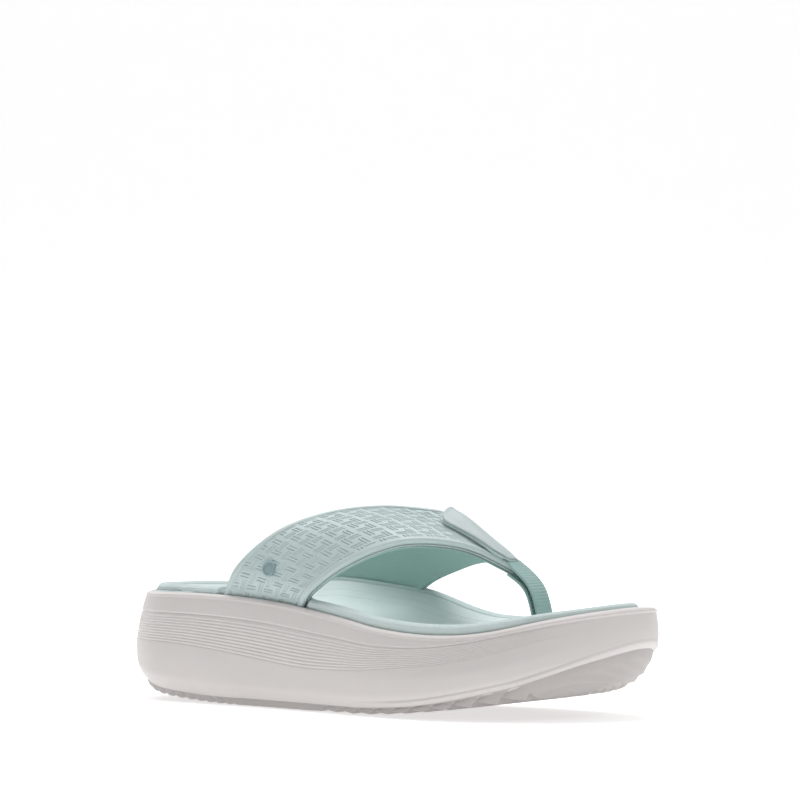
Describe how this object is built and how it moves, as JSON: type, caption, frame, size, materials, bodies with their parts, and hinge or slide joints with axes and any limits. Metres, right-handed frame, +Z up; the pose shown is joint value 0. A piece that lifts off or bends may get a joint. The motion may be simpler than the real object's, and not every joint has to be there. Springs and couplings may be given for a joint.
{
  "type": "platform thong sandal",
  "caption": "Right-foot platform thong sandal: rockered foam sole, dished footbed, wide padded embossed strap with a centre tab and a webbing toe post.",
  "frame": {"origin": "middle of the base of the whole sandal's box, on the ground", "axes": "+X from heel to toe, +Y from the outer side of the foot to the inner side, +Z up"},
  "size_m": [0.2646, 0.0952, 0.0899],
  "materials": {
    "sole_foam": "satin",
    "tread_rubber": "matte",
    "footbed_foam": "matte",
    "footbed_skin": "fine knit texture",
    "edge_wrap": "fine knit texture",
    "board": "matte",
    "strap_shell": "satin, embossed weave",
    "strap_foam": "matte",
    "strap_lining": "matte",
    "piping": "satin",
    "tab_top": "satin",
    "tab_pad": "matte",
    "webbing": "ribbed grosgrain",
    "anchor_plastic": "matte",
    "badge": "satin"
  },
  "bodies": {
    "root": {"midsole": "sole_foam", "heel_outsole": "tread_rubber", "waist_outsole": "tread_rubber", "forefoot_outsole": "tread_rubber", "insole_board": "board", "footbed_core": "footbed_foam", "footbed_edge_wrap": "edge_wrap", "footbed_cover": "footbed_skin", "strap_shell": "strap_shell", "strap_foam": "strap_foam", "strap_lining": "strap_lining", "front_piping": "piping", "rear_piping": "piping", "outer_anchor_plate": "anchor_plastic", "inner_anchor_plate": "anchor_plastic", "toe_post_webbing": "webbing", "toe_post_anchor": "anchor_plastic", "tab_pad": "tab_pad", "tab_top": "tab_top", "side_badge": "badge"}
  },
  "joints": []
}
